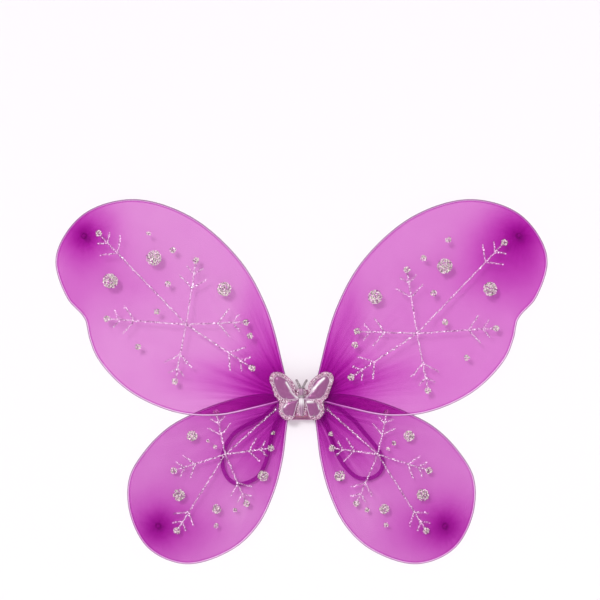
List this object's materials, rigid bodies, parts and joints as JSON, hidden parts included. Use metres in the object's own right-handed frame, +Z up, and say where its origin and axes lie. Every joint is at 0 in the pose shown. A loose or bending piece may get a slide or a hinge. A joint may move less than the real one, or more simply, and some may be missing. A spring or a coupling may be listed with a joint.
{
  "type": "fairy wings",
  "caption": "Child's fairy wings of sheer nylon on bent wire frames, with glitter snowflake drawings, a padded butterfly ornament at the centre and elastic arm loops behind.",
  "frame": {"origin": "centre of the felt back pad's rear face, which rests on the wearer's back", "axes": "+Z up the wearer's spine, +X to the wearer's right, +Y into the wearer's back, so the ornament faces -Y"},
  "size_m": [0.5502, 0.0199, 0.4085],
  "materials": {
    "rim_wire": "satin lilac wire showing through the nylon hem",
    "sheer_nylon": "sheer stretched orchid nylon, denser where it is gathered",
    "gathered_nylon": "bunched nylon, deep magenta purple",
    "thread": "waxed thread",
    "glitter_glue": "silver glitter in clear glue",
    "glitter_cord": "silver glitter cord",
    "glitter_border": "pale pink glitter edging",
    "padded_film": "pearly lilac metallised film over padding",
    "felt": "matt pink felt",
    "wrap_cloth": "wound rose cloth",
    "binding_tape": "white cloth tape",
    "twisted_wire": "twisted pair of wire ends",
    "elastic": "narrow woven elastic"
  },
  "bodies": {
    "centre": {"back_pad": "felt", "centre_wrap": "wrap_cloth", "bundle_tape": "binding_tape", "ornament_core": "felt", "ornament_body": "padded_film", "ornament_cinch": "glitter_cord", "left_upper_wire_tail": "twisted_wire", "left_lower_wire_tail": "twisted_wire", "left_strap_tab": "elastic", "ornament_left_antenna": "glitter_cord", "right_upper_wire_tail": "twisted_wire", "right_lower_wire_tail": "twisted_wire", "right_strap_tab": "elastic", "ornament_right_antenna": "glitter_cord"},
    "left_upper_wing": {"left_upper_wire_frame": "rim_wire", "left_upper_nylon_skin": "sheer_nylon", "left_upper_root_gather": "gathered_nylon", "left_upper_snowflake": "glitter_glue", "left_upper_toe_knot": "gathered_nylon", "left_upper_toe_thread": "thread"},
    "left_lower_wing": {"left_lower_wire_frame": "rim_wire", "left_lower_nylon_skin": "sheer_nylon", "left_lower_root_gather": "gathered_nylon", "left_lower_snowflake": "glitter_glue", "left_lower_toe_knot": "gathered_nylon", "left_lower_toe_thread": "thread"},
    "left_ornament_flap": {"ornament_left_backing": "felt", "ornament_left_border": "glitter_border", "ornament_left_upper_puff": "padded_film", "ornament_left_lower_puff": "padded_film"},
    "left_strap": {"left_arm_loop": "elastic"},
    "right_upper_wing": {"right_upper_wire_frame": "rim_wire", "right_upper_nylon_skin": "sheer_nylon", "right_upper_root_gather": "gathered_nylon", "right_upper_snowflake": "glitter_glue", "right_upper_toe_knot": "gathered_nylon", "right_upper_toe_thread": "thread"},
    "right_lower_wing": {"right_lower_wire_frame": "rim_wire", "right_lower_nylon_skin": "sheer_nylon", "right_lower_root_gather": "gathered_nylon", "right_lower_snowflake": "glitter_glue", "right_lower_toe_knot": "gathered_nylon", "right_lower_toe_thread": "thread"},
    "right_ornament_flap": {"ornament_right_backing": "felt", "ornament_right_border": "glitter_border", "ornament_right_upper_puff": "padded_film", "ornament_right_lower_puff": "padded_film"},
    "right_strap": {"right_arm_loop": "elastic"}
  },
  "joints": [
    {"name": "left_upper_fold", "type": "hinge", "parent": "centre", "child": "left_upper_wing", "pos_m": [-0.013, -0.00775, 0.0075], "axis": [0, 0, 1], "range_deg": [0, 60]},
    {"name": "left_lower_fold", "type": "hinge", "parent": "centre", "child": "left_lower_wing", "pos_m": [-0.013, -0.00775, -0.0025], "axis": [0, 0, 1], "range_deg": [0, 51]},
    {"name": "left_ornament_fold", "type": "hinge", "parent": "centre", "child": "left_ornament_flap", "pos_m": [-0.007, -0.014, 0.01], "axis": [0, 0, 1], "range_deg": [0, 60]},
    {"name": "left_strap_swing", "type": "hinge", "parent": "centre", "child": "left_strap", "pos_m": [-0.0202, -0.0033, -0.004], "axis": [0, 0, -1], "range_deg": [0, 90]},
    {"name": "right_upper_fold", "type": "hinge", "parent": "centre", "child": "right_upper_wing", "pos_m": [0.013, -0.00775, 0.0075], "axis": [0, 0, -1], "range_deg": [0, 60]},
    {"name": "right_lower_fold", "type": "hinge", "parent": "centre", "child": "right_lower_wing", "pos_m": [0.013, -0.00775, -0.0025], "axis": [0, 0, -1], "range_deg": [0, 51]},
    {"name": "right_ornament_fold", "type": "hinge", "parent": "centre", "child": "right_ornament_flap", "pos_m": [0.007, -0.014, 0.01], "axis": [0, 0, -1], "range_deg": [0, 60]},
    {"name": "right_strap_swing", "type": "hinge", "parent": "centre", "child": "right_strap", "pos_m": [0.0202, -0.0033, -0.004], "axis": [0, 0, 1], "range_deg": [0, 90]}
  ],
  "couplings": [
    {"joint": "left_lower_fold", "follows": "left_upper_fold", "ratio": 0.85},
    {"joint": "left_ornament_fold", "follows": "left_upper_fold", "ratio": 1},
    {"joint": "right_lower_fold", "follows": "right_upper_fold", "ratio": 0.85},
    {"joint": "right_ornament_fold", "follows": "right_upper_fold", "ratio": 1}
  ]
}
